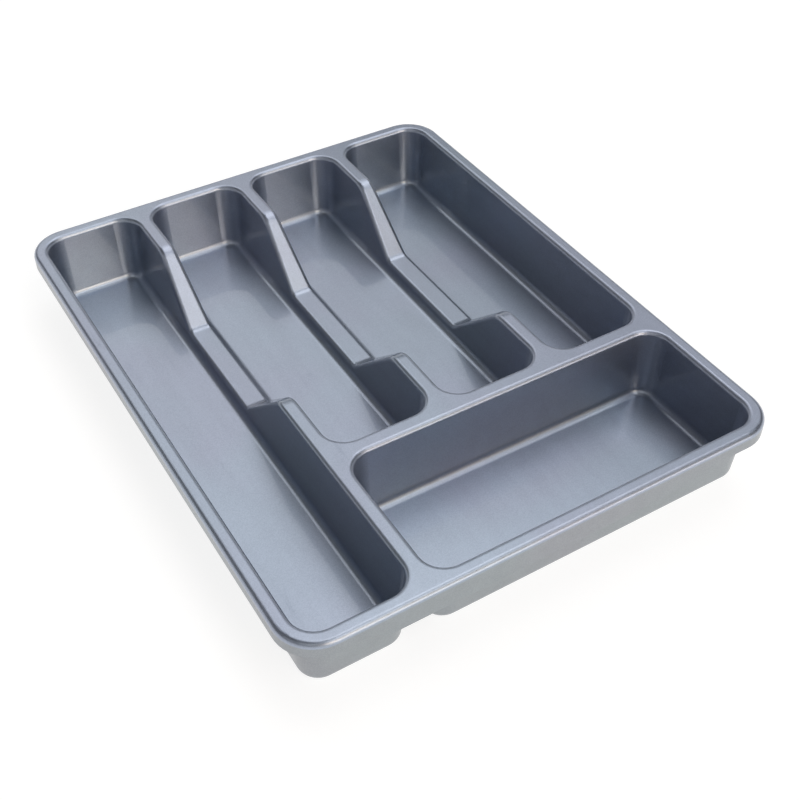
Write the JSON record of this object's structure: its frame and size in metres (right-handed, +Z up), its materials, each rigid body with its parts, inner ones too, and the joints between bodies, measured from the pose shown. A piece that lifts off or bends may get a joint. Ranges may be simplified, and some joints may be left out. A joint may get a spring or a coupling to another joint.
{
  "type": "cutlery tray",
  "caption": "Shallow moulded drawer tray with a long side compartment, short compartments between dipped dividers, a wide front compartment and a turned-down rim.",
  "frame": {"origin": "under the middle of the tray, on the plane that its compartments rest on", "axes": "+Z up, +Y towards the back where the short compartments end, +X to the right, so the long compartment is at -X and the wide one at -Y"},
  "size_m": [0.3194, 0.4, 0.0492],
  "materials": {
    "silver_plastic": "silver-grey plastic with a fine metallic pearl, moulded with a satin gloss"
  },
  "bodies": {
    "root": {"tray_moulding": "silver_plastic"}
  },
  "joints": []
}
